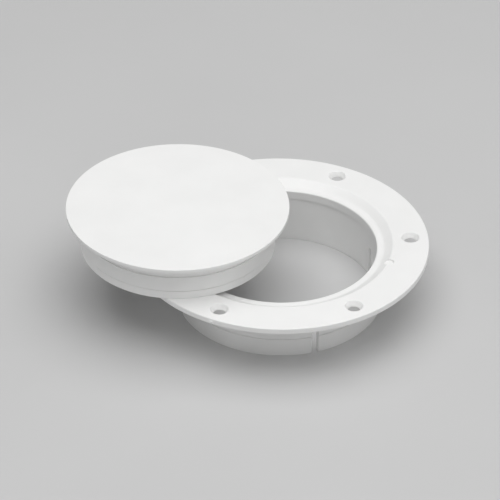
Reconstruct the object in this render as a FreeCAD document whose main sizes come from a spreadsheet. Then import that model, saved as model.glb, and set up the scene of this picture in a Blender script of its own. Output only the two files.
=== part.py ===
import FreeCAD, Part
import math
import os
import Sketcher

# Deck inspection plate in two mouldings: a screwed-down ring, and the snap-in lid that lies on it.
# Millimetres. The origin is on the ring's axis in the plane of the flange's underside, where the
# ring meets the deck. +Z is up, out of the deck, and the lid lies towards -X.

# Driving sizes, each with the plain words that explain it. A size that follows from others is a
# formula, so that the lid always seats and snaps in the ring that it belongs to.
SIZES = [
    ("opening_radius", "50.7", "clear opening through the snap land"),
    ("mouth_lead", "0.8", "chamfer that leads the lid's skirt from the seat's floor into the opening"),
    ("seat_floor_width", "3.0", "flat ring between the opening and the sloping side of the seat"),
    ("seat_slope_width", "4.5", "width of the seat's sloping side, seen from above"),
    ("seat_depth", "3.0", "depth of the seat floor below the flange's top"),
    ("flange_width", "19.0", "flat flange from the seat's edge to the rim"),
    ("flange_thick", "3.0", "thickness of the flange and of the seat under it"),
    ("rim_round", "0.5", "rounding of the rim's top edge"),
    ("land_height", "4.2", "height of the snap land below the mouth's chamfer"),
    ("collar_wall", "3.5", "wall of the collar"),
    ("collar_depth", "31.5", "collar below the flange's underside"),
    ("collar_step", "0.2", "how much slimmer the collar's lower band is"),
    ("collar_band_height", "10.5", "height of the collar's slimmer lower band"),
    ("edge_break", "0.3", "small chamfer of the moulded edges"),
    ("root_chamfer", "1.2", "thickening where the collar meets the underside of the seat"),
    ("slot_count", "4", "slots round the collar"),
    ("slot_width", "3.8", "width of a slot"),
    ("slot_height", "17.5", "height of a slot, from the collar's bottom to its round top"),
    ("slot_angle", "19.4", "direction of the first slot, in degrees from +X"),
    ("screw_count", "6", "countersunk screw holes"),
    ("screw_hole_diameter", "6.4", "through hole for the screw"),
    ("countersink_diameter", "9.4", "countersink at the flange's top"),
    ("countersink_angle", "60", "full angle of the countersink, in degrees"),
    ("screw_angle", "3", "direction of the first screw hole, in degrees from +X"),
    ("notch_radius", "2.5", "half-round pry notch in the seat's edge"),
    ("notch_depth", "1.2", "depth of the pry notch below the flange's top"),
    ("notch_offset", "0.6", "how far the notch's centre lies outside the seat's edge"),
    ("notch_angle", "-18.3", "direction of the pry notch, in degrees from +X"),
    ("snap_overlap", "0.3", "how much wider the lid's skirt is than the opening, per side"),
    ("skirt_clearance", "0.2", "gap between the lid's skirt and the collar's bore, per side"),
    ("neck_clearance", "0.45", "gap between the lid's neck and the snap land, per side"),
    ("disc_clearance", "0.9", "gap between the lid's disc and the seat's edge, per side"),
    ("snap_play", "0.65", "gap between the lid's shoulder and the snap land when it is closed"),
    ("disc_thick", "1.9", "thickness of the lid's disc"),
    ("disc_break", "0.5", "chamfer of the disc's top edge"),
    ("shoulder_break", "0.5", "chamfer of the lid's snap shoulder, which lets the lid be pried out"),
    ("skirt_height", "13.05", "skirt below the snap shoulder"),
    ("lead_band_height", "4.75", "slimmer band at the bottom of the skirt, which starts it in the opening"),
    ("lead_step", "0.15", "how much slimmer that band is"),
    ("lid_wall", "2.5", "wall of the lid's neck"),
    ("lid_root_chamfer", "1.5", "thickening inside the lid between its disc and its wall"),
    ("lid_aside", "53.5", "how far the lid's axis lies from the ring's axis, towards -X"),
    ("lid_forward", "1.8", "how far the lid's axis lies from the ring's axis, towards -Y"),
    ("cut_margin", "2.0", "how far a cut runs past what it cuts"),
    ("seat_floor_radius", "=opening_radius + mouth_lead + seat_floor_width",
     "outer edge of the seat's floor"),
    ("seat_radius", "=seat_floor_radius + seat_slope_width", "outer edge of the seat"),
    ("flange_radius", "=seat_radius + flange_width", "rim of the flange"),
    ("screw_circle_radius", "=(seat_radius + flange_radius) / 2", "screws on the middle of the flange"),
    ("skirt_radius", "=opening_radius + snap_overlap", "lid's skirt"),
    ("bore_radius", "=skirt_radius + skirt_clearance", "collar's bore below the snap land"),
    ("collar_radius", "=bore_radius + collar_wall", "outside of the collar"),
    ("neck_radius", "=opening_radius - neck_clearance", "lid's neck"),
    ("disc_radius", "=seat_radius - disc_clearance", "lid's disc"),
    ("floor_top", "=flange_thick - seat_depth", "height of the seat's floor"),
    ("land_bottom", "=floor_top - mouth_lead - land_height", "height of the snap land's lower edge"),
    ("slope_drop", "=flange_thick * (sqrt(seat_depth ^ 2 + seat_slope_width ^ 2) / seat_slope_width)",
     "wall of the seat's sloping side, measured straight down"),
    ("slope_foot_radius", "=seat_radius + (slope_drop - flange_thick) * seat_slope_width / seat_depth",
     "where the slope's underside leaves the flange's underside"),
    ("collar_root_height", "=(collar_radius - slope_foot_radius) * seat_depth / seat_slope_width",
     "where the slope's underside meets the collar"),
    ("rest_drop", "=disc_clearance * seat_depth / seat_slope_width",
     "how deep the disc's edge sinks into the seat before it meets the slope"),
    ("neck_height", "=flange_thick - rest_drop - land_bottom + snap_play",
     "lid's neck, so that the shoulder passes the snap land when the disc is seated"),
    ("disc_bottom", "=skirt_height + neck_height", "height of the disc's underside"),
    ("lid_height", "=disc_bottom + disc_thick", "whole height of the lid"),
    ("lid_inner_radius", "=neck_radius - lid_wall", "hollow of the lid"),
]

doc = FreeCAD.newDocument("deck_plate")


def make_sheet():
    """Writes every size into the sheet, one row each, and returns the sheet."""
    sheet = doc.addObject("Spreadsheet::Sheet", "Sizes")
    for row, (alias, content, meaning) in enumerate(SIZES, start=1):
        sheet.set("A%d" % row, alias)
        sheet.set("B%d" % row, content)
        sheet.set("C%d" % row, meaning)
        sheet.setAlias("B%d" % row, alias)
    doc.recompute()
    return sheet


sheet = make_sheet()


def size(expression):
    """Works out one size of the sheet, or an expression of its sizes, as a number."""
    return float(sheet.evalExpression(expression))


def origin_feature(body, role):
    """Finds one of a body's own origin planes or axes by its role."""
    return next(item for item in body.Origin.OriginFeatures if item.Role == role)


def new_body(name):
    """Starts a sub-part whose label names its file."""
    body = doc.addObject("PartDesign::Body", name)
    body.Label = name
    return body


def new_sketch(body, name, role, lift=None):
    """Starts a sketch on one of the body's own planes, lifted along its normal by a size if given."""
    sketch = body.newObject("Sketcher::SketchObject", name)
    sketch.AttachmentSupport = [(origin_feature(body, role), "")]
    sketch.MapMode = "FlatFace"
    if lift:
        sketch.setExpression("AttachmentOffset.Base.z", "Sizes.%s" % lift)
    return sketch


def draw_profile(sketch, corners):
    """Draws a closed half section of straight lines.

    Each corner has a name, its radius and its height, both as expressions of the sheet. The sketch
    gets one radius and one height dimension for each corner, bound to those expressions.
    """
    count = len(corners)
    places = [FreeCAD.Vector(size(radius), size(height), 0) for _, radius, height in corners]
    for index in range(count):
        sketch.addGeometry(Part.LineSegment(places[index], places[(index + 1) % count]), False)
    for index in range(count):
        sketch.addConstraint(Sketcher.Constraint("Coincident", index, 2, (index + 1) % count, 1))
    for index, (name, radius, height) in enumerate(corners):
        place = places[index]
        bind(sketch, Sketcher.Constraint("DistanceX", -1, 1, index, 1, place.x), name + "_radius", radius)
        bind(sketch, Sketcher.Constraint("DistanceY", -1, 1, index, 1, place.y), name + "_height", height)


def bind(sketch, constraint, name, expression):
    """Adds a dimension to a sketch, names it and ties it to an expression of the sheet."""
    number = sketch.addConstraint(constraint)
    sketch.renameConstraint(number, name)
    sketch.setExpression("Constraints.%s" % name, with_sheet(expression))


def with_sheet(expression):
    """Puts the sheet's name before each size that an expression uses."""
    words = expression.replace("(", "( ").replace(")", " )").split()
    aliases = {alias for alias, _, _ in SIZES}
    return " ".join("Sizes." + word if word in aliases else word for word in words)


def revolve(body, name, sketch):
    """Spins a half section into a full turned shape about Z."""
    turned = body.newObject("PartDesign::Revolution", name)
    turned.Profile = sketch
    turned.ReferenceAxis = (sketch, ["V_Axis"])
    turned.Angle = 360
    doc.recompute()
    return turned


def circle_edges(feature, wanted):
    """Names the feature's full circles about Z that have one of the wanted radius and height pairs."""
    near = 1e-4
    found = []
    for number, edge in enumerate(feature.Shape.Edges, start=1):
        if not isinstance(edge.Curve, Part.Circle):
            continue
        radius = edge.Curve.Radius
        height = edge.Curve.Center.z
        if any(abs(radius - size(r)) < near and abs(height - size(z)) < near for r, z in wanted):
            found.append("Edge%d" % number)
    if len(found) != len(wanted):
        raise RuntimeError("%s: %d of %d edges found" % (feature.Name, len(found), len(wanted)))
    return found


def round_edges(body, name, feature, wanted, radius_alias):
    """Rounds the circles at the given radius and height pairs with one size from the sheet."""
    rounding = body.newObject("PartDesign::Fillet", name)
    rounding.Base = (feature, circle_edges(feature, wanted))
    rounding.Radius = size(radius_alias)
    rounding.setExpression("Radius", "Sizes.%s" % radius_alias)
    doc.recompute()
    return rounding


def chamfer_edges(body, name, feature, wanted, size_alias):
    """Chamfers the circles at the given radius and height pairs with one size from the sheet."""
    chamfer = body.newObject("PartDesign::Chamfer", name)
    chamfer.Base = (feature, circle_edges(feature, wanted))
    chamfer.Size = size(size_alias)
    chamfer.setExpression("Size", "Sizes.%s" % size_alias)
    doc.recompute()
    return chamfer


def repeat_round(body, name, feature, count_alias):
    """Repeats a cut evenly round Z and makes the pattern the body's tip."""
    pattern = body.newObject("PartDesign::PolarPattern", name)
    pattern.Originals = [feature]
    pattern.Axis = (origin_feature(body, "Z_Axis"), [""])
    pattern.Angle = 360
    pattern.Occurrences = int(size(count_alias))
    pattern.setExpression("Occurrences", "Sizes.%s" % count_alias)
    body.Tip = pattern
    doc.recompute()
    return pattern


def place_circle(sketch, diameter, distance, angle):
    """Draws a circle whose centre lies at a distance and an angle from the sketch's origin."""
    turn = math.radians(size(angle))
    centre = FreeCAD.Vector(size(distance) * math.cos(turn), size(distance) * math.sin(turn), 0)
    normal = FreeCAD.Vector(0, 0, 1)
    sketch.addGeometry(Part.Circle(centre, normal, size(diameter) / 2), False)
    across = "( %s ) * cos( %s * 1deg )" % (distance, angle)
    along = "( %s ) * sin( %s * 1deg )" % (distance, angle)
    bind(sketch, Sketcher.Constraint("Diameter", 0, size(diameter)), "diameter", diameter)
    bind(sketch, Sketcher.Constraint("DistanceX", -1, 1, 0, 3, centre.x), "centre_across", across)
    bind(sketch, Sketcher.Constraint("DistanceY", -1, 1, 0, 3, centre.y), "centre_along", along)


def check_cut(name, before, after):
    """Stops the build when a cut took nothing away."""
    if not after.Shape.Volume < before.Shape.Volume - 1.0:
        raise RuntimeError("%s cut nothing" % name)


def make_ring():
    """The deck ring: flange, dished seat, snap land and slotted collar in one moulding."""
    body = new_body("deck_ring")
    section = new_sketch(body, "ring_section", "XZ_Plane")
    draw_profile(section, [
        ("rim_top", "flange_radius", "flange_thick"),
        ("seat_edge", "seat_radius", "flange_thick"),
        ("seat_foot", "seat_floor_radius", "floor_top"),
        ("mouth", "opening_radius", "floor_top"),
        ("land_foot", "opening_radius", "land_bottom"),
        ("bore_top", "bore_radius", "land_bottom"),
        ("bore_foot", "bore_radius", "-1 * collar_depth"),
        ("band_foot", "collar_radius - collar_step", "-1 * collar_depth"),
        ("band_top", "collar_radius - collar_step", "collar_band_height - collar_depth"),
        ("collar_foot", "collar_radius", "collar_band_height - collar_depth"),
        ("collar_root", "collar_radius", "collar_root_height"),
        ("slope_foot", "slope_foot_radius", "0"),
        ("rim_foot", "flange_radius", "0"),
    ])
    turned = revolve(body, "ring_turned", section)
    rim = round_edges(body, "rim_rounded", turned, [("flange_radius", "flange_thick")], "rim_round")
    mouth = chamfer_edges(body, "mouth_led_in", rim, [("opening_radius", "floor_top")], "mouth_lead")
    root = chamfer_edges(body, "collar_root", mouth, [
        ("collar_radius", "collar_root_height"),
    ], "root_chamfer")
    broken = chamfer_edges(body, "ring_edges_broken", root, [
        ("seat_radius", "flange_thick"),
        ("bore_radius", "-1 * collar_depth"),
        ("collar_radius - collar_step", "-1 * collar_depth"),
    ], "edge_break")
    slots = cut_slots(body, broken)
    screws = drill_screw_holes(body, slots)
    cut_pry_notch(body, screws)
    return body


def cut_slots(body, before):
    """Cuts the round-topped slots that run up the collar from its bottom and let it flex."""
    sketch = new_sketch(body, "slot_outline", "XZ_Plane")
    sketch.AttachmentOffset = FreeCAD.Placement(
        FreeCAD.Vector(), FreeCAD.Rotation(FreeCAD.Vector(0, 1, 0), size("slot_angle") + 90))
    sketch.setExpression("AttachmentOffset.Rotation.Angle", "Sizes.slot_angle + 90")
    half = size("slot_width") / 2
    foot = -size("collar_depth") - size("cut_margin")
    spring = size("slot_height") - half - size("collar_depth")
    left_foot = FreeCAD.Vector(-half, foot, 0)
    left_spring = FreeCAD.Vector(-half, spring, 0)
    right_spring = FreeCAD.Vector(half, spring, 0)
    right_foot = FreeCAD.Vector(half, foot, 0)
    centre = FreeCAD.Vector(0, spring, 0)
    round_top = Part.Circle(centre, FreeCAD.Vector(0, 0, 1), half)
    sketch.addGeometry(Part.LineSegment(left_foot, left_spring), False)
    sketch.addGeometry(Part.ArcOfCircle(round_top, 0, math.pi), False)
    sketch.addGeometry(Part.LineSegment(right_spring, right_foot), False)
    sketch.addGeometry(Part.LineSegment(right_foot, left_foot), False)
    sketch.addConstraint([
        Sketcher.Constraint("Tangent", 0, 2, 1, 2),
        Sketcher.Constraint("Tangent", 1, 1, 2, 1),
        Sketcher.Constraint("Coincident", 2, 2, 3, 1),
        Sketcher.Constraint("Coincident", 3, 2, 0, 1),
        Sketcher.Constraint("Vertical", 0),
        Sketcher.Constraint("Vertical", 2),
        Sketcher.Constraint("Horizontal", 3),
        Sketcher.Constraint("PointOnObject", 1, 3, -2),
    ])
    bind(sketch, Sketcher.Constraint("DistanceX", 3, 2, 3, 1, 2 * half), "width", "slot_width")
    bind(sketch, Sketcher.Constraint("DistanceY", -1, 1, 3, 1, foot), "foot",
         "-1 * collar_depth - cut_margin")
    bind(sketch, Sketcher.Constraint("DistanceY", -1, 1, 1, 3, spring), "spring",
         "slot_height - slot_width / 2 - collar_depth")
    slot = body.newObject("PartDesign::Pocket", "slot")
    slot.Profile = sketch
    slot.Length = size("collar_radius") + size("cut_margin")
    slot.setExpression("Length", "Sizes.collar_radius + Sizes.cut_margin")
    slot.Reversed = True
    doc.recompute()
    check_cut("slot", before, slot)
    return repeat_round(body, "slots", slot, "slot_count")


def drill_screw_holes(body, before):
    """Drills the countersunk screw holes on the middle of the flange."""
    sketch = new_sketch(body, "screw_place", "XY_Plane", "flange_thick")
    place_circle(sketch, "screw_hole_diameter", "screw_circle_radius", "screw_angle")
    doc.recompute()
    hole = body.newObject("PartDesign::Hole", "screw_hole")
    hole.Profile = sketch
    hole.ThreadType = "None"
    hole.DepthType = "ThroughAll"
    hole.Diameter = size("screw_hole_diameter")
    hole.setExpression("Diameter", "Sizes.screw_hole_diameter")
    hole.HoleCutType = "Countersink"
    hole.HoleCutCustomValues = True
    hole.HoleCutDiameter = size("countersink_diameter")
    hole.setExpression("HoleCutDiameter", "Sizes.countersink_diameter")
    hole.HoleCutCountersinkAngle = size("countersink_angle")
    hole.setExpression("HoleCutCountersinkAngle", "Sizes.countersink_angle")
    doc.recompute()
    check_cut("screw hole", before, hole)
    return repeat_round(body, "screw_holes", hole, "screw_count")


def cut_pry_notch(body, before):
    """Cuts the half-round notch in the seat's edge where a blade lifts the lid."""
    sketch = new_sketch(body, "notch_outline", "XY_Plane", "flange_thick")
    place_circle(sketch, "2 * notch_radius", "seat_radius + notch_offset", "notch_angle")
    notch = body.newObject("PartDesign::Pocket", "pry_notch")
    notch.Profile = sketch
    notch.Length = size("notch_depth")
    notch.setExpression("Length", "Sizes.notch_depth")
    body.Tip = notch
    doc.recompute()
    check_cut("pry notch", before, notch)
    return notch


def make_lid():
    """The lid: a thin disc over a hollow skirt, with the neck and shoulder that snap into the ring."""
    body = new_body("lid")
    section = new_sketch(body, "lid_section", "XZ_Plane")
    draw_profile(section, [
        ("disc_middle", "0", "lid_height"),
        ("roof_middle", "0", "disc_bottom"),
        ("roof_edge", "lid_inner_radius", "disc_bottom"),
        ("hollow_foot", "lid_inner_radius", "0"),
        ("band_foot", "skirt_radius - lead_step", "0"),
        ("band_top", "skirt_radius - lead_step", "lead_band_height"),
        ("skirt_foot", "skirt_radius", "lead_band_height"),
        ("shoulder", "skirt_radius", "skirt_height"),
        ("neck_foot", "neck_radius", "skirt_height"),
        ("neck_top", "neck_radius", "disc_bottom"),
        ("disc_foot", "disc_radius", "disc_bottom"),
        ("disc_top", "disc_radius", "lid_height"),
    ])
    turned = revolve(body, "lid_turned", section)
    disc = chamfer_edges(body, "disc_edge", turned, [("disc_radius", "lid_height")], "disc_break")
    shoulder = chamfer_edges(body, "snap_shoulder", disc, [
        ("skirt_radius", "skirt_height"),
    ], "shoulder_break")
    root = chamfer_edges(body, "lid_root", shoulder, [
        ("lid_inner_radius", "disc_bottom"),
    ], "lid_root_chamfer")
    chamfer_edges(body, "skirt_edges_broken", root, [
        ("lid_inner_radius", "0"),
        ("skirt_radius - lead_step", "0"),
    ], "edge_break")
    body.setExpression("Placement.Base.x", "-1 * Sizes.lid_aside")
    body.setExpression("Placement.Base.y", "-1 * Sizes.lid_forward")
    body.setExpression("Placement.Base.z", "Sizes.flange_thick")
    return body


def check_document(bodies):
    """Stops the build when an object failed, a sketch is loose or a sub-part is not one sound solid."""
    for item in doc.Objects:
        if "Invalid" in item.State or "Error" in item.State:
            raise RuntimeError("%s is in error: %s" % (item.Name, item.State))
        if item.TypeId == "Sketcher::SketchObject" and not item.FullyConstrained:
            raise RuntimeError("%s is not fully constrained" % item.Name)
    for body in bodies:
        if body.Shape.isNull() or not body.Shape.isValid() or len(body.Shape.Solids) != 1:
            raise RuntimeError("%s is not one sound solid" % body.Label)


def write_parts(bodies):
    """Writes each sub-part to its own file."""
    os.makedirs("parts", exist_ok=True)
    for body in bodies:
        body.Shape.exportStep("parts/%s.step" % body.Label)
        box = body.Shape.BoundBox
        print("%s %.1f mm3, x %.2f to %.2f, y %.2f to %.2f, z %.2f to %.2f" % (
            body.Label, body.Shape.Volume, box.XMin, box.XMax, box.YMin, box.YMax, box.ZMin, box.ZMax))


parts = [make_ring(), make_lid()]
doc.recompute()
check_document(parts)
write_parts(parts)
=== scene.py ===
"""Dresses the deck inspection plate: a moulded ring with its pry-out lid lying on it.

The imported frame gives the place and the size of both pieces. Each piece is turned here
again from its own section, with the small roundings, lips and mould marks that the
solids leave out, and then it stands for its CAD node. The pieces' sizes are in
millimetres, as in the part's source, and the lamps' places are in metres.
"""

from __future__ import annotations

import logging
import math
from dataclasses import dataclass
from enum import Enum
from typing import Sequence

import bpy
from mathutils import Matrix, Vector

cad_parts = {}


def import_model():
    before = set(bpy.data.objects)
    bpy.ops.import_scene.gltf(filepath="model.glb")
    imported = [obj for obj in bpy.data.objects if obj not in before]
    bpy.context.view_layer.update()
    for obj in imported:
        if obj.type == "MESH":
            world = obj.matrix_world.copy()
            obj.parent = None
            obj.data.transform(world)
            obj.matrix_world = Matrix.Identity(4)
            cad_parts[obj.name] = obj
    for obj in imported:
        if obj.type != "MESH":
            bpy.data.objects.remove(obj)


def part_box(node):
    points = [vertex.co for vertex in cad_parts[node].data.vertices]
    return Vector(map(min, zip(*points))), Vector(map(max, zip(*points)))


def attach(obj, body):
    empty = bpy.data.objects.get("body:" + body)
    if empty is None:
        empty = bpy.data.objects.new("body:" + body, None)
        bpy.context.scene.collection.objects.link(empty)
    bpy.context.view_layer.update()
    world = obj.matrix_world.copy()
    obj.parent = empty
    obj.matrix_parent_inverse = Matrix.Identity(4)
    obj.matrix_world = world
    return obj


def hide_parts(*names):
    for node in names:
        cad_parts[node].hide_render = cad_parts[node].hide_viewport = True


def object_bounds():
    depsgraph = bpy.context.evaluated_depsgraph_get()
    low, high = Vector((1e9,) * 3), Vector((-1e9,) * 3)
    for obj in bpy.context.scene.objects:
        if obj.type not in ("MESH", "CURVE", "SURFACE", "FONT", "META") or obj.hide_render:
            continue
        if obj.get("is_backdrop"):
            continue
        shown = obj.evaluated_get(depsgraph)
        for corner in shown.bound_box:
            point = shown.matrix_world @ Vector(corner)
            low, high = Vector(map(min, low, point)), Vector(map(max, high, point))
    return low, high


LOG = logging.getLogger("inspection_plate")
BODY = "root"

MM = 0.001  # Blender's lengths are metres.
SAME_PLACE = 1e-7  # Places nearer to each other than this, in metres, are one.
SEAM = 2e-7  # Vertices nearer to each other than this, in metres, are merged.
FULL_TURN = 360.0
BAR_ANGLE = 90.0  # The direction, from +X, in which push_out leaves its bar.
SHARP_TURN = 32.0  # Edges that turn by more than this, in degrees, stay sharp.

MIX_COLOURS = (6, 7)  # A Mix node's sockets share their names, so they go by number.
MIX_COLOUR_RESULT = 2
MIX_SHADERS = (1, 2)  # So do the two inputs of a Mix Shader node.
WHITE = (1, 1, 1, 1)


class Carve(Enum):
    """How a tool body changes a piece."""

    CUT = "DIFFERENCE"
    JOIN = "UNION"


class Grain(Enum):
    """A mould's finish, as the height of the orange peel in millimetres."""

    POLISHED = 0.003
    SATIN = 0.005


@dataclass(frozen=True)
class Rounding:
    """The rounding of a corner.

    Args:
        size: Length that it takes from both sides of the corner, in millimetres.
        faces: Number of faces in it.
    """

    size: float
    faces: int


@dataclass(frozen=True)
class Corner:
    """One corner of a drawn section, in millimetres.

    Args:
        across: Distance from the turning axis, or along X for an outline.
        height: Height of the corner.
        rounding: Its rounding, or None where it is sharp.
    """

    across: float
    height: float
    rounding: Rounding | None = None


@dataclass(frozen=True)
class Lumps:
    """The lumps of a noise.

    Args:
        size: How large they are, in millimetres.
        detail: How many sets of finer ones lie on them.
    """

    size: float
    detail: float = 2.0


def deselect_all() -> None:
    """Leaves nothing selected, so that an operator acts on new work alone."""
    bpy.ops.object.select_all(action="DESELECT")


def select_only(piece: bpy.types.Object) -> None:
    """Makes one piece the only selected and the active one.

    Args:
        piece: The piece to work on.
    """
    deselect_all()
    piece.select_set(True)
    bpy.context.view_layer.objects.active = piece


def pick_vertices(piece: bpy.types.Object, spots: Sequence[Vector]) -> None:
    """Selects the vertices at some spots, and nothing else.

    Args:
        piece: Mesh piece in object mode.
        spots: The places in metres.
    """
    mesh = piece.data
    mesh.polygons.foreach_set("select", [False] * len(mesh.polygons))
    mesh.edges.foreach_set("select", [False] * len(mesh.edges))
    mesh.vertices.foreach_set("select", [
        any((vertex.co - spot).length < SAME_PLACE for spot in spots)
        for vertex in mesh.vertices])


def edit(piece: bpy.types.Object) -> None:
    """Opens a piece for work on its vertices.

    Args:
        piece: The piece to work on.
    """
    select_only(piece)
    bpy.context.tool_settings.mesh_select_mode = (True, False, False)
    bpy.ops.object.mode_set(mode="EDIT")


def edit_all(piece: bpy.types.Object) -> None:
    """Opens a piece for work on its whole mesh."""
    edit(piece)
    bpy.ops.mesh.select_all(action="SELECT")


def close_edit() -> None:
    """Ends the work on a piece's mesh."""
    bpy.ops.object.mode_set(mode="OBJECT")


def draw_section(
        name: str, corners: Sequence[Corner], closed: bool) -> bpy.types.Object:
    """Draws a chain of edges in the XZ plane and rounds its corners.

    Args:
        name: Name of the new object.
        corners: The corners in order.
        closed: Whether the last corner is joined to the first.

    Returns:
        The object, whose mesh is the bare outline.
    """
    deselect_all()
    bpy.ops.mesh.primitive_plane_add(size=MM, location=(0, 0, 0))
    piece = bpy.context.object
    piece.name = piece.data.name = name
    places = [Vector((corner.across * MM, 0, corner.height * MM))
              for corner in corners]
    edit(piece)
    bpy.ops.mesh.merge(type="CENTER")
    bpy.ops.transform.translate(value=places[0])
    for here, there in zip(places, places[1:]):
        bpy.ops.mesh.extrude_vertices_move(
            TRANSFORM_OT_translate={"value": there - here})
    close_edit()
    if closed:
        pick_vertices(piece, (places[0], places[-1]))
        edit(piece)
        bpy.ops.mesh.edge_face_add()
        close_edit()
    for corner, place in zip(corners, places):
        if corner.rounding is not None:
            pick_vertices(piece, (place,))
            edit(piece)
            bpy.ops.mesh.bevel(
                offset_type="OFFSET", offset=corner.rounding.size * MM,
                segments=corner.rounding.faces, affect="VERTICES", profile=0.5)
            close_edit()
    return piece


def close_seams(piece: bpy.types.Object) -> None:
    """Merges doubled vertices and points every face outwards.

    Args:
        piece: The piece, whose shell is closed but for its seams.
    """
    edit_all(piece)
    bpy.ops.mesh.remove_doubles(threshold=SEAM)
    bpy.ops.mesh.normals_make_consistent(inside=False)
    close_edit()


def turn(name: str, corners: Sequence[Corner], steps: int,
         closed: bool = False) -> bpy.types.Object:
    """Turns a section about the Z axis.

    Args:
        name: Name of the new object.
        corners: The section's corners, with its ends on the axis unless it is closed.
        steps: Number of faces round the axis.
        closed: Whether the section is a closed one, clear of the axis.

    Returns:
        The turned piece, closed and facing outwards.
    """
    piece = draw_section(name, corners, closed)
    edit_all(piece)
    bpy.ops.mesh.spin(steps=steps, angle=math.tau, center=(0, 0, 0), axis=(0, 0, 1))
    close_edit()
    close_seams(piece)
    return piece


def push_out(name: str, corners: Sequence[Corner], near: float,
             far: float) -> bpy.types.Object:
    """Makes a bar along +Y with an outline drawn in the XZ plane.

    Args:
        name: Name of the new object.
        corners: The outline's corners.
        near: Where the bar starts along Y, in millimetres.
        far: Where it ends.

    Returns:
        The bar, closed and facing outwards.
    """
    piece = draw_section(name, corners, closed=True)
    edit_all(piece)
    bpy.ops.mesh.remove_doubles(threshold=SEAM)
    bpy.ops.mesh.edge_face_add()
    bpy.ops.transform.translate(value=(0, near * MM, 0))
    bpy.ops.mesh.extrude_region_move(
        TRANSFORM_OT_translate={"value": (0, (far - near) * MM, 0)})
    close_edit()
    close_seams(piece)
    return piece


def move_mesh(piece: bpy.types.Object, shift: Vector) -> None:
    """Moves a piece's mesh, so that its object stays at the origin.

    Args:
        piece: The piece to move.
        shift: How far and which way, in metres.
    """
    edit_all(piece)
    bpy.ops.transform.translate(value=shift)
    close_edit()


def all_round(first: float, count: int) -> list[float]:
    """Gives evenly spaced directions all round, in degrees, from a first one."""
    return [first + FULL_TURN / count * index for index in range(count)]


def spread_round(tool: bpy.types.Object, turns: Sequence[float]) -> bpy.types.Object:
    """Copies a tool round the Z axis and joins the copies.

    Args:
        tool: The tool.
        turns: By how many degrees each copy is turned from where the tool stands.

    Returns:
        One object that holds every copy.
    """
    copies = [tool]
    for _ in turns[1:]:
        select_only(tool)
        bpy.ops.object.duplicate()
        copies.append(bpy.context.object)
    for copy, angle in zip(copies, turns):
        copy.rotation_euler.z = math.radians(angle)
        select_only(copy)
        bpy.ops.object.transform_apply(location=False, rotation=True, scale=False)
    deselect_all()
    for copy in copies:
        copy.select_set(True)
    bpy.context.view_layer.objects.active = tool
    if len(copies) > 1:
        bpy.ops.object.join()
    return tool


def carve(piece: bpy.types.Object, tool: bpy.types.Object, how: Carve) -> None:
    """Cuts a tool out of a piece or joins it on, and removes the tool.

    Args:
        piece: The piece to change.
        tool: A closed body.
        how: Whether the tool is cut out or joined on.
    """
    modifier = piece.modifiers.new("carve", "BOOLEAN")
    modifier.operation = how.value
    modifier.solver = "MANIFOLD"
    modifier.object = tool
    select_only(piece)
    bpy.ops.object.modifier_apply(modifier=modifier.name)
    bpy.data.objects.remove(tool)


def smooth_shell(piece: bpy.types.Object) -> None:
    """Shades a shell smooth between its sharp edges, with its large faces kept flat.

    Args:
        piece: The finished mesh piece.
    """
    close_seams(piece)
    select_only(piece)
    bpy.ops.object.shade_smooth_by_angle(angle=math.radians(SHARP_TURN))
    modifier = piece.modifiers.new("even_shading", "WEIGHTED_NORMAL")
    modifier.keep_sharp = True
    bpy.ops.object.modifier_apply(modifier=modifier.name)


def dress(piece: bpy.types.Object, material: bpy.types.Material) -> None:
    """Gives a piece one material all over, without a boolean's empty slots.

    Args:
        piece: The finished piece.
        material: The material for all of its faces.
    """
    mesh = piece.data
    mesh.materials.clear()
    mesh.materials.append(material)
    mesh.polygons.foreach_set("material_index", [0] * len(mesh.polygons))
    mesh.update()


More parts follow.
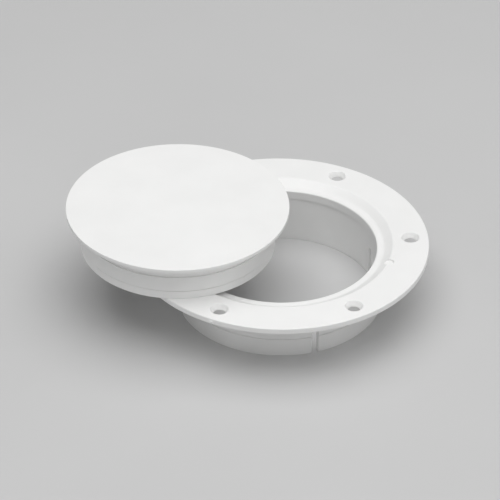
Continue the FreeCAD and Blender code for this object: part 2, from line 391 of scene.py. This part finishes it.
@dataclass
class NodeBoard:
    """Adds and joins the nodes of one material or world.

    Args:
        tree: The node tree, which is emptied first.
        noise_low: Nearly all of a noise lies above this.
        noise_high: Nearly all of a noise lies below this.
    """

    tree: bpy.types.NodeTree
    noise_low: float = 0.3
    noise_high: float = 0.7

    def __post_init__(self) -> None:
        """Starts with no nodes."""
        self.tree.nodes.clear()

    def feed(self, socket: bpy.types.NodeSocket, value: object) -> None:
        """Fills one input.

        Args:
            socket: The input.
            value: An output to join to it, or a plain value.
        """
        if isinstance(value, bpy.types.NodeSocket):
            self.tree.links.new(value, socket)
        else:
            socket.default_value = value

    def add(self, kind: str, settings: dict[str, object] | None = None,
            **inputs: object) -> bpy.types.Node:
        """Adds one node.

        Args:
            kind: The node's type.
            settings: Properties of the node itself.
            **inputs: Values or outputs for its inputs, named with _ for a space.

        Returns:
            The node.
        """
        node = self.tree.nodes.new(kind)
        for name, value in (settings or {}).items():
            setattr(node, name, value)
        for name, value in inputs.items():
            self.feed(node.inputs[name.replace("_", " ")], value)
        return node

    def noise(self, place: bpy.types.NodeSocket, lumps: Lumps) -> bpy.types.NodeSocket:
        """Gives a noise with lumps of a named size."""
        return self.add("ShaderNodeTexNoise", Vector=place, Detail=lumps.detail,
                        Scale=1 / (lumps.size * MM)).outputs["Fac"]

    def spread(self, noise: bpy.types.NodeSocket, low: float,
               high: float) -> bpy.types.NodeSocket:
        """Spreads a noise over low to high."""
        return self.add("ShaderNodeMapRange", Value=noise, From_Min=self.noise_low,
                        From_Max=self.noise_high, To_Min=low, To_Max=high
                        ).outputs["Result"]

    def tint(self, noise: bpy.types.NodeSocket, first: Sequence[float],
             second: Sequence[float]) -> bpy.types.NodeSocket:
        """Spreads a noise over two colours.

        Args:
            noise: The noise.
            first: Colour where the noise is low.
            second: Colour where it is high.

        Returns:
            The blended colour.
        """
        amount = self.spread(noise, 0.0, 1.0)
        node = self.add("ShaderNodeMix", {"data_type": "RGBA"}, Factor=amount)
        for index, colour in zip(MIX_COLOURS, (first, second)):
            self.feed(node.inputs[index], (*colour, 1))
        return node.outputs[MIX_COLOUR_RESULT]

    def reckon(self, operation: str, first: bpy.types.NodeSocket,
               second: bpy.types.NodeSocket | float) -> bpy.types.NodeSocket:
        """Reckons one amount from two.

        Args:
            operation: The Math node's operation.
            first: The first amount.
            second: The second amount, or a number.

        Returns:
            The result.
        """
        node = self.add("ShaderNodeMath", {"operation": operation})
        for index, value in enumerate((first, second)):
            self.feed(node.inputs[index], value)
        return node.outputs["Value"]

    def bump(self, height: bpy.types.NodeSocket, depth: float,
             under: bpy.types.NodeSocket | None = None) -> bpy.types.NodeSocket:
        """Turns a height into a normal.

        Args:
            height: The height, from 0 to 1.
            depth: How deep a height of 1 is, in millimetres.
            under: The normal that it lies on, if it doesn't lie on the bare surface.

        Returns:
            The bumped normal.
        """
        node = self.add("ShaderNodeBump", Strength=1.0, Distance=depth * MM,
                        Height=height)
        if under is not None:
            self.feed(node.inputs["Normal"], under)
        return node.outputs["Normal"]

    def cover(self, amount: bpy.types.NodeSocket, first: bpy.types.Node,
              second: bpy.types.Node) -> bpy.types.NodeSocket:
        """Covers one shader with another.

        Args:
            amount: How far the second covers the first.
            first: The node of the lower shader.
            second: The node of the upper shader.

        Returns:
            The mixed shader.
        """
        node = self.add("ShaderNodeMixShader", Fac=amount)
        for index, shader in zip(MIX_SHADERS, (first, second)):
            self.feed(node.inputs[index], shader.outputs[0])
        return node.outputs["Shader"]


@dataclass(frozen=True)
class MouldedPlastic:
    """Glossy white injection-moulded plastic.

    Args:
        name: The material's name.
        grain: How strong its orange peel is.
        pale: Its lightest colour.
        deep: Its deepest colour.
        clouds: The slow change from one to the other.
        gloss: Lowest and highest roughness.
        patches: The change of roughness.
        peel: The orange peel.
        flow: The slow waves that the mould flow leaves.
        flow_depth: Depth of those waves, in millimetres.
        ior: The plastic's index of refraction.
    """

    name: str
    grain: Grain
    pale: tuple[float, float, float] = (0.875, 0.875, 0.868)
    deep: tuple[float, float, float] = (0.845, 0.846, 0.838)
    clouds: Lumps = Lumps(26.0, 3.0)
    gloss: tuple[float, float] = (0.36, 0.44)
    patches: Lumps = Lumps(5.0)
    peel: Lumps = Lumps(1.6)
    flow: Lumps = Lumps(22.0, 1.0)
    flow_depth: float = 0.02
    ior: float = 1.53

    def make(self) -> bpy.types.Material:
        """Builds the material from noises on the piece's own coordinates.

        Returns:
            The material.
        """
        material = bpy.data.materials.new(self.name)
        material.use_nodes = True
        board = NodeBoard(material.node_tree)
        place = board.add("ShaderNodeTexCoord").outputs["Object"]
        waves = board.bump(board.noise(place, self.flow), self.flow_depth)
        skin = board.bump(board.noise(place, self.peel), self.grain.value, waves)
        shader = board.add(
            "ShaderNodeBsdfPrincipled",
            Base_Color=board.tint(
                board.noise(place, self.clouds), self.deep, self.pale),
            Roughness=board.spread(board.noise(place, self.patches), *self.gloss),
            IOR=self.ior, Normal=skin)
        board.add("ShaderNodeOutputMaterial", Surface=shader.outputs["BSDF"])
        return material


@dataclass(frozen=True)
class FloorPaper:
    """The matt pale paper of the floor, which is see-through from below.

    What lies flat on the paper sees through it too, so that a foot isn't black from
    below.

    Args:
        name: The material's name.
        colour: Its mean colour.
        shift: How far its clouds lighten and darken it.
        clouds: The clouds.
        rough: Its roughness.
        sheen: Its specular level.
        touch: How near a surface sees through the paper, in millimetres.
    """

    name: str = "floor_paper"
    colour: float = 0.585
    shift: float = 0.01
    clouds: Lumps = Lumps(180.0, 4.0)
    rough: float = 0.95
    sheen: float = 0.1
    touch: float = 0.2

    def make(self) -> bpy.types.Material:
        """Builds the material.

        Returns:
            The material.
        """
        material = bpy.data.materials.new(self.name)
        material.use_nodes = True
        board = NodeBoard(material.node_tree)
        place = board.add("ShaderNodeTexCoord").outputs["Object"]
        low, high = self.colour - self.shift, self.colour + self.shift
        paper = board.add(
            "ShaderNodeBsdfPrincipled",
            Base_Color=board.tint(
                board.noise(place, self.clouds), (low,) * 3, (high,) * 3),
            Roughness=self.rough, Specular_IOR_Level=self.sheen)
        clear = board.add("ShaderNodeBsdfTransparent")
        below = board.add("ShaderNodeNewGeometry").outputs["Backfacing"]
        reach = board.add("ShaderNodeLightPath").outputs["Ray Length"]
        touching = board.reckon("LESS_THAN", reach, self.touch * MM)
        seen_through = board.reckon("MAXIMUM", below, touching)
        board.add("ShaderNodeOutputMaterial",
                  Surface=board.cover(seen_through, paper, clear))
        return material


@dataclass
class DeckRing:
    """The ring: a flat flange with a dished seat, and the slotted collar under it.

    Heights are measured from the flange's underside and depths down from it, except
    where another start is named. Directions are degrees from +X about the axis.

    Args:
        name: The piece's name.
        node: The CAD node that it stands for.
        finish: Its plastic.
        steps: Number of faces round the axis.
        opening_radius: Clear opening through the snap land.
        seat_floor_radius: Outer edge of the seat's flat floor.
        seat_radius: Outer edge of the seat's slope.
        seat_depth: Depth of the seat's floor below the flange's top.
        flange_radius: The rim.
        flange_thick: Thickness of the flange.
        land_depth: Depth of the snap land's lower edge.
        bore_radius: The collar's bore below the land.
        collar_radius: Outside of the collar.
        collar_depth: Depth of the collar's foot.
        collar_step: How much slimmer the collar's lower band is.
        collar_band_height: Height of that band above the collar's foot.
        collar_root_depth: Where the collar starts from the slope under the seat.
        slope_foot_radius: Where that slope leaves the flange's underside.
        slot_count: Number of slots round the collar.
        slot_width: Width of a slot.
        slot_height: Height of a slot's top above the collar's foot.
        slot_angle: Direction of the first slot.
        slot_top_faces: Number of faces in each half of a slot's round top.
        screw_count: Number of screw holes.
        screw_circle_radius: The circle that they stand on.
        screw_hole_radius: The hole for the screw's shank.
        countersink_radius: The hole at the flange's top.
        countersink_angle: Full angle of the countersink.
        screw_angle: Direction of the first screw hole.
        notch_radius: The round pry notch.
        notch_depth: Depth of its floor below the flange's top.
        notch_centre_radius: The circle that its centre stands on.
        notch_angle: Direction of the notch.
        hole_steps: Number of faces round a screw hole or the notch.
        gate_angle: Direction of the gate mark on the rim.
        gate_width: Width of the mark.
        gate_height: Height of the mark from its lower to its upper edge.
        gate_middle: Height of its middle.
        gate_stand: How far it stands out of the rim.
        gate_root: How far its body reaches into the rim.
        witness: Width and depth of the groove at the top of the lower band.
        clear: How far a tool runs past what it cuts.
        graze: How far a hollow's tool is lifted, so that no two faces coincide.
        rim_round: Rounding of the rim's top edge.
        hem_round: Rounding of the rim's lower edge.
        seat_edge_round: Rounding where the flange's top meets the seat's slope.
        seat_foot_round: Rounding where the slope meets the seat's floor.
        mouth_round: Rounding that leads into the opening.
        land_round: Rounding of the land's lower edge.
        foot_round: Rounding of both edges of the collar's foot.
        groove_round: Rounding of the groove's outer edges.
        root_round: Rounding where the collar starts.
        lip_round: Rounding of a hollow's edge at the flange's top.
        sink_round: Rounding at the foot of a countersink.
        notch_floor_round: Rounding round the notch's floor.
        gate_round: Rounding of the gate mark's corners.
    """

    name: str = "moulded_ring"
    node: str = "deck_ring"
    finish: MouldedPlastic = MouldedPlastic("ring_white_plastic", Grain.SATIN)
    steps: int = 360
    opening_radius: float = 50.7
    seat_floor_radius: float = 54.5
    seat_radius: float = 59.0
    seat_depth: float = 3.0
    flange_radius: float = 78.0
    flange_thick: float = 3.0
    land_depth: float = 5.0
    bore_radius: float = 51.2
    collar_radius: float = 54.7
    collar_depth: float = 31.5
    collar_step: float = 0.2
    collar_band_height: float = 10.5
    collar_root_depth: float = 3.47
    slope_foot_radius: float = 59.9
    slot_count: int = 4
    slot_width: float = 3.8
    slot_height: float = 17.5
    slot_angle: float = 19.4
    slot_top_faces: int = 12
    screw_count: int = 6
    screw_circle_radius: float = 68.5
    screw_hole_radius: float = 3.2
    countersink_radius: float = 4.7
    countersink_angle: float = 60.0
    screw_angle: float = 3.0
    notch_radius: float = 2.5
    notch_depth: float = 1.2
    notch_centre_radius: float = 59.6
    notch_angle: float = -18.3
    hole_steps: int = 72
    gate_angle: float = -116.8
    gate_width: float = 2.4
    gate_height: float = 1.4
    gate_middle: float = 1.1
    gate_stand: float = 0.5
    gate_root: float = 1.0
    witness: float = 0.45
    clear: float = 2.0
    graze: float = 0.005
    rim_round: Rounding = Rounding(0.5, 6)
    hem_round: Rounding = Rounding(0.15, 2)
    seat_edge_round: Rounding = Rounding(0.5, 5)
    seat_foot_round: Rounding = Rounding(0.8, 4)
    mouth_round: Rounding = Rounding(0.8, 5)
    land_round: Rounding = Rounding(0.12, 2)
    foot_round: Rounding = Rounding(0.2, 3)
    groove_round: Rounding = Rounding(0.05, 1)
    root_round: Rounding = Rounding(1.2, 4)
    lip_round: Rounding = Rounding(0.35, 5)
    sink_round: Rounding = Rounding(0.15, 2)
    notch_floor_round: Rounding = Rounding(0.4, 4)
    gate_round: Rounding = Rounding(0.15, 2)

    def section(self) -> list[Corner]:
        """Draws the ring's section.

        Returns:
            Its corners, from the rim's top inwards, down the bore and back outside.
        """
        foot = -self.collar_depth
        land_bottom = -self.land_depth
        band_top = foot + self.collar_band_height
        band_radius = self.collar_radius - self.collar_step
        groove_radius = band_radius - self.witness
        groove_bottom = band_top - self.witness
        floor = self.flange_thick - self.seat_depth
        return [
            Corner(self.flange_radius, self.flange_thick, self.rim_round),
            Corner(self.seat_radius, self.flange_thick, self.seat_edge_round),
            Corner(self.seat_floor_radius, floor, self.seat_foot_round),
            Corner(self.opening_radius, floor, self.mouth_round),
            Corner(self.opening_radius, land_bottom, self.land_round),
            Corner(self.bore_radius, land_bottom),
            Corner(self.bore_radius, foot, self.foot_round),
            Corner(band_radius, foot, self.foot_round),
            Corner(band_radius, groove_bottom, self.groove_round),
            Corner(groove_radius, groove_bottom),
            Corner(groove_radius, band_top),
            Corner(self.collar_radius, band_top, self.groove_round),
            Corner(self.collar_radius, -self.collar_root_depth, self.root_round),
            Corner(self.slope_foot_radius, 0.0),
            Corner(self.flange_radius, 0.0, self.hem_round),
        ]

    def hollow_tool(self, name: str, walls: list[Corner], mouth: float,
                    circle_radius: float) -> bpy.types.Object:
        """Makes a tool that sinks a round hollow into the flange's top.

        Args:
            name: Name of the tool.
            walls: The hollow's corners, from its axis at the foot up to its mouth.
            mouth: The hollow's radius at the flange's top.
            circle_radius: How far the hollow's axis lies from the ring's.

        Returns:
            The tool, standing on the +X side.
        """
        top = self.flange_thick
        brim = mouth + 2 * self.lip_round.size
        corners = walls + [
            Corner(mouth, top, self.lip_round),
            Corner(brim, top),
            Corner(brim, top + self.clear),
            Corner(0.0, top + self.clear),
        ]
        tool = turn(name, corners, self.hole_steps)
        move_mesh(tool, Vector((circle_radius * MM, 0, self.graze * MM)))
        return tool

    def drill_screw_holes(self, piece: bpy.types.Object) -> None:
        """Sinks the countersunk screw holes.

        Args:
            piece: The ring.
        """
        slope = math.tan(math.radians(self.countersink_angle / 2))
        depth = (self.countersink_radius - self.screw_hole_radius) / slope
        walls = [
            Corner(0.0, -self.clear),
            Corner(self.screw_hole_radius, -self.clear),
            Corner(self.screw_hole_radius, self.flange_thick - depth,
                   self.sink_round),
        ]
        tool = self.hollow_tool("countersink_tool", walls, self.countersink_radius,
                                self.screw_circle_radius)
        turns = all_round(self.screw_angle, self.screw_count)
        carve(piece, spread_round(tool, turns), Carve.CUT)

    def cut_pry_notch(self, piece: bpy.types.Object) -> None:
        """Sinks the notch in the seat's edge where a blade lifts the lid.

        Args:
            piece: The ring.
        """
        floor = self.flange_thick - self.notch_depth
        walls = [
            Corner(0.0, floor),
            Corner(self.notch_radius, floor, self.notch_floor_round),
        ]
        tool = self.hollow_tool("notch_tool", walls, self.notch_radius,
                                self.notch_centre_radius)
        carve(piece, spread_round(tool, [self.notch_angle]), Carve.CUT)

    def cut_slots(self, piece: bpy.types.Object) -> None:
        """Cuts the round-topped slots that let the collar flex.

        Args:
            piece: The ring.
        """
        half, foot = self.slot_width / 2, -self.collar_depth
        top, round_top = foot + self.slot_height, Rounding(half, self.slot_top_faces)
        outline = [
            Corner(-half, foot - self.clear),
            Corner(half, foot - self.clear),
            Corner(half, top, round_top),
            Corner(-half, top, round_top),
        ]
        tool = push_out("slot_tool", outline, self.bore_radius - self.clear,
                        self.collar_radius + self.clear)
        turns = all_round(self.slot_angle - BAR_ANGLE, self.slot_count)
        carve(piece, spread_round(tool, turns), Carve.CUT)

    def leave_gate_mark(self, piece: bpy.types.Object) -> None:
        """Leaves the small pad on the rim where the mould's gate was cut off.

        Args:
            piece: The ring.
        """
        half = self.gate_width / 2
        low = self.gate_middle - self.gate_height / 2
        high = self.gate_middle + self.gate_height / 2
        outline = [
            Corner(-half, low, self.gate_round),
            Corner(half, low, self.gate_round),
            Corner(half, high, self.gate_round),
            Corner(-half, high, self.gate_round),
        ]
        pad = push_out("gate_pad", outline, self.flange_radius - self.gate_root,
                       self.flange_radius + self.gate_stand)
        carve(piece, spread_round(pad, [self.gate_angle - BAR_ANGLE]), Carve.JOIN)

    def build(self) -> bpy.types.Object:
        """Turns and cuts the ring and dresses it.

        Returns:
            The piece, which stands for the ring's CAD node.
        """
        piece = turn(self.name, self.section(), self.steps, closed=True)
        self.drill_screw_holes(piece)
        self.cut_pry_notch(piece)
        self.cut_slots(piece)
        self.leave_gate_mark(piece)
        smooth_shell(piece)
        dress(piece, self.finish.make())
        return piece


@dataclass
class PryLid:
    """The lid: a thin disc over a hollow skirt, with a neck and a snap-in shoulder.

    Heights are measured from the skirt's foot.

    Args:
        name: The piece's name.
        node: The CAD node that it stands for.
        finish: Its plastic.
        steps: Number of faces round the axis.
        disc_radius: The disc.
        disc_thick: Thickness of the disc.
        lid_height: Whole height of the lid.
        inner_radius: The hollow.
        skirt_radius: The skirt.
        skirt_height: Height of the snap shoulder at the skirt's top.
        neck_radius: The neck between the shoulder and the disc.
        lead_band_height: Height of the skirt's slimmer lower band.
        lead_step: How much slimmer that band is.
        witness: Width and depth of the groove at the top of that band.
        roof_round: Rounding inside, where the wall meets the disc.
        foot_round: Rounding of both edges of the skirt's foot.
        groove_round: Rounding of the groove's outer edges.
        shoulder_round: Rounding of the snap shoulder's edge.
        neck_round: Rounding where the neck meets the disc.
        disc_low_round: Rounding of the disc's lower edge.
        disc_top_round: Rounding of the disc's top edge.
    """

    name: str = "moulded_lid"
    node: str = "lid"
    finish: MouldedPlastic = MouldedPlastic("lid_white_plastic", Grain.POLISHED)
    steps: int = 300
    disc_radius: float = 58.1
    disc_thick: float = 1.9
    lid_height: float = 23.0
    inner_radius: float = 47.75
    skirt_radius: float = 51.0
    skirt_height: float = 13.05
    neck_radius: float = 50.25
    lead_band_height: float = 4.75
    lead_step: float = 0.15
    witness: float = 0.3
    roof_round: Rounding = Rounding(1.5, 5)
    foot_round: Rounding = Rounding(0.15, 3)
    groove_round: Rounding = Rounding(0.05, 1)
    shoulder_round: Rounding = Rounding(0.35, 4)
    neck_round: Rounding = Rounding(0.2, 3)
    disc_low_round: Rounding = Rounding(0.08, 2)
    disc_top_round: Rounding = Rounding(0.3, 4)

    def section(self) -> list[Corner]:
        """Draws the lid's section.

        Returns:
            Its corners, from under the disc, down inside, round the foot and up to
            the disc's top.
        """
        roof = self.lid_height - self.disc_thick
        band_top = self.lead_band_height
        band_radius = self.skirt_radius - self.lead_step
        groove_radius = band_radius - self.witness
        groove_bottom = band_top - self.witness
        return [
            Corner(0.0, roof),
            Corner(self.inner_radius, roof, self.roof_round),
            Corner(self.inner_radius, 0.0, self.foot_round),
            Corner(band_radius, 0.0, self.foot_round),
            Corner(band_radius, groove_bottom, self.groove_round),
            Corner(groove_radius, groove_bottom),
            Corner(groove_radius, band_top),
            Corner(self.skirt_radius, band_top, self.groove_round),
            Corner(self.skirt_radius, self.skirt_height, self.shoulder_round),
            Corner(self.neck_radius, self.skirt_height),
            Corner(self.neck_radius, roof, self.neck_round),
            Corner(self.disc_radius, roof, self.disc_low_round),
            Corner(self.disc_radius, self.lid_height, self.disc_top_round),
            Corner(0.0, self.lid_height),
        ]

    def build(self) -> bpy.types.Object:
        """Turns the lid where its CAD node lies and dresses it.

        Returns:
            The piece, which stands for the lid's CAD node.
        """
        low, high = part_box(self.node)
        foot = Vector(((low[0] + high[0]) / 2, (low[1] + high[1]) / 2, low[2]))
        piece = turn(self.name, self.section(), self.steps)
        move_mesh(piece, foot)
        smooth_shell(piece)
        dress(piece, self.finish.make())
        return piece


@dataclass(frozen=True)
class SoftLamp:
    """A square soft box.

    Args:
        name: The lamp's name.
        power: Its power in watts.
        side: Its side in metres.
        place: Where it hangs, in metres.
    """

    name: str
    power: float
    side: float
    place: tuple[float, float, float]

    def hang(self, target: Vector) -> None:
        """Hangs the lamp and turns it to a target.

        Args:
            target: The place that it shines at, in metres.
        """
        deselect_all()
        bpy.ops.object.light_add(type="AREA", location=self.place)
        lamp = bpy.context.object
        lamp.name = lamp.data.name = self.name
        lamp.data.energy, lamp.data.size = self.power, self.side
        lamp.rotation_mode = "QUATERNION"
        ahead = target - Vector(self.place)
        lamp.rotation_quaternion = ahead.to_track_quat("-Z", "Y")


@dataclass
class Studio:
    """The pale floor, the soft boxes and the plain surroundings.

    Args:
        floor_side: Side of the floor, in metres.
        floor_gap: How far the floor lies under the object's foot, in millimetres.
        paper: What the floor is made of.
        surround: Strength of the even light from all round.
        backdrop: Strength of what shows behind the floor and in reflections.
        target: The place that all lamps shine at, in metres.
        lamps: The soft boxes.
    """

    floor_side: float = 8.0
    floor_gap: float = 0.05
    paper: FloorPaper = FloorPaper()
    surround: float = 0.19
    backdrop: float = 0.80
    target: tuple[float, float, float] = (-0.016, -0.009, 0.0)
    lamps: tuple[SoftLamp, ...] = (
        SoftLamp("top_softbox", power=22.8, side=2.0,
                 place=(-0.016, -0.009, 1.70)),
        SoftLamp("front_softbox", power=4.8, side=1.2,
                 place=(-0.016, -0.590, 1.597)),
        SoftLamp("right_softbox", power=1.3, side=1.0,
                 place=(0.674, -0.699, 1.393)),
        SoftLamp("low_softbox", power=3.8, side=1.35,
                 place=(-0.016, -1.626, 0.525)),
        SoftLamp("right_side_softbox", power=3.1, side=1.1,
                 place=(1.525, -0.009, 0.718)),
        SoftLamp("left_side_softbox", power=0.8, side=0.56,
                 place=(-1.557, -0.009, 0.718)),
    )

    def lay_floor(self, foot: float) -> None:
        """Lays the floor just under the object.

        Args:
            foot: Height of the object's foot, in metres.
        """
        deselect_all()
        bpy.ops.mesh.primitive_plane_add(
            size=self.floor_side, location=(0, 0, foot - self.floor_gap * MM))
        floor = bpy.context.object
        floor.name = floor.data.name = "floor"
        floor.data.materials.append(self.paper.make())
        floor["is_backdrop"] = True

    def light(self) -> None:
        """Hangs the lamps and sets the surroundings' light and colour."""
        for lamp in self.lamps:
            lamp.hang(Vector(self.target))
        world = bpy.data.worlds.new("surroundings")
        world.use_nodes = True
        bpy.context.scene.world = world
        board = NodeBoard(world.node_tree)
        ambient = board.add(
            "ShaderNodeBackground", Color=WHITE, Strength=self.surround)
        seen = board.add(
            "ShaderNodeBackground", Color=WHITE, Strength=self.backdrop)
        rays = board.add("ShaderNodeLightPath").outputs
        shown = board.reckon("MAXIMUM", rays["Is Camera Ray"], rays["Is Glossy Ray"])
        shown = board.reckon("MAXIMUM", shown, rays["Is Transmission Ray"])
        board.add("ShaderNodeOutputWorld", Surface=board.cover(shown, ambient, seen))


@dataclass(frozen=True)
class PhotoCamera:
    """The camera at the photograph's angle.

    Args:
        aim: The point in the middle of the frame, in millimetres.
        distance: From the camera to that point, in millimetres.
        elevation: How far the camera looks down, in degrees.
        roll: How far its right side tilts up, in degrees.
        lens: Focal length in millimetres.
        sensor: Width of the sensor in millimetres.
        nearest: Nothing nearer than this shows, in metres.
        farthest: Nothing farther than this shows, in metres.
    """

    aim: tuple[float, float, float] = (-15.77, -9.09, 3.0)
    distance: float = 1560.8
    elevation: float = 35.23
    roll: float = 0.41
    lens: float = 215.43
    sensor: float = 36.0
    nearest: float = 0.05
    farthest: float = 20.0

    def set_up(self) -> None:
        """Makes the camera and gives it to the scene."""
        down, tilt = math.radians(self.elevation), math.radians(self.roll)
        ahead = Vector((0, math.cos(down), -math.sin(down)))
        level = Vector((1, 0, 0))
        above = Vector((0, math.sin(down), math.cos(down)))
        right = level * math.cos(tilt) + above * math.sin(tilt)
        up = above * math.cos(tilt) - level * math.sin(tilt)
        place = (Vector(self.aim) - ahead * self.distance) * MM
        deselect_all()
        bpy.ops.object.camera_add(location=place)
        camera = bpy.context.object
        camera.name = camera.data.name = "photo_camera"
        camera.data.lens, camera.data.sensor_width = self.lens, self.sensor
        camera.data.clip_start, camera.data.clip_end = self.nearest, self.farthest
        camera.data.dof.use_dof = False
        turned = Matrix((right, up, -ahead)).transposed().to_4x4()
        camera.matrix_world = Matrix.Translation(place) @ turned
        bpy.context.scene.camera = camera


def report_piece(piece: bpy.types.Object) -> None:
    """Writes a piece's name and its number of faces to the log."""
    LOG.info("%s: %d faces", piece.name, len(piece.data.polygons))


def plain_box(box: Sequence[Sequence[float]]) -> list[list[float]]:
    """Gives a box's two corners as plain lists of numbers."""
    return [[float(value) for value in corner] for corner in box]


def main() -> None:
    """Loads the frame, builds both pieces and the studio, and lays the floor under the
    frame's box.
    """
    logging.basicConfig(level=logging.INFO, format="%(name)s: %(message)s")
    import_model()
    cad_box = plain_box(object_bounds())
    for maker in (DeckRing(), PryLid()):
        piece = maker.build()
        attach(piece, BODY)
        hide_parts(maker.node)
        report_piece(piece)
    studio = Studio()
    studio.lay_floor(cad_box[0][2])
    studio.light()
    PhotoCamera().set_up()
    bpy.context.scene.view_settings.view_transform = "Standard"
    deselect_all()


if __name__ == "__main__":
    main()
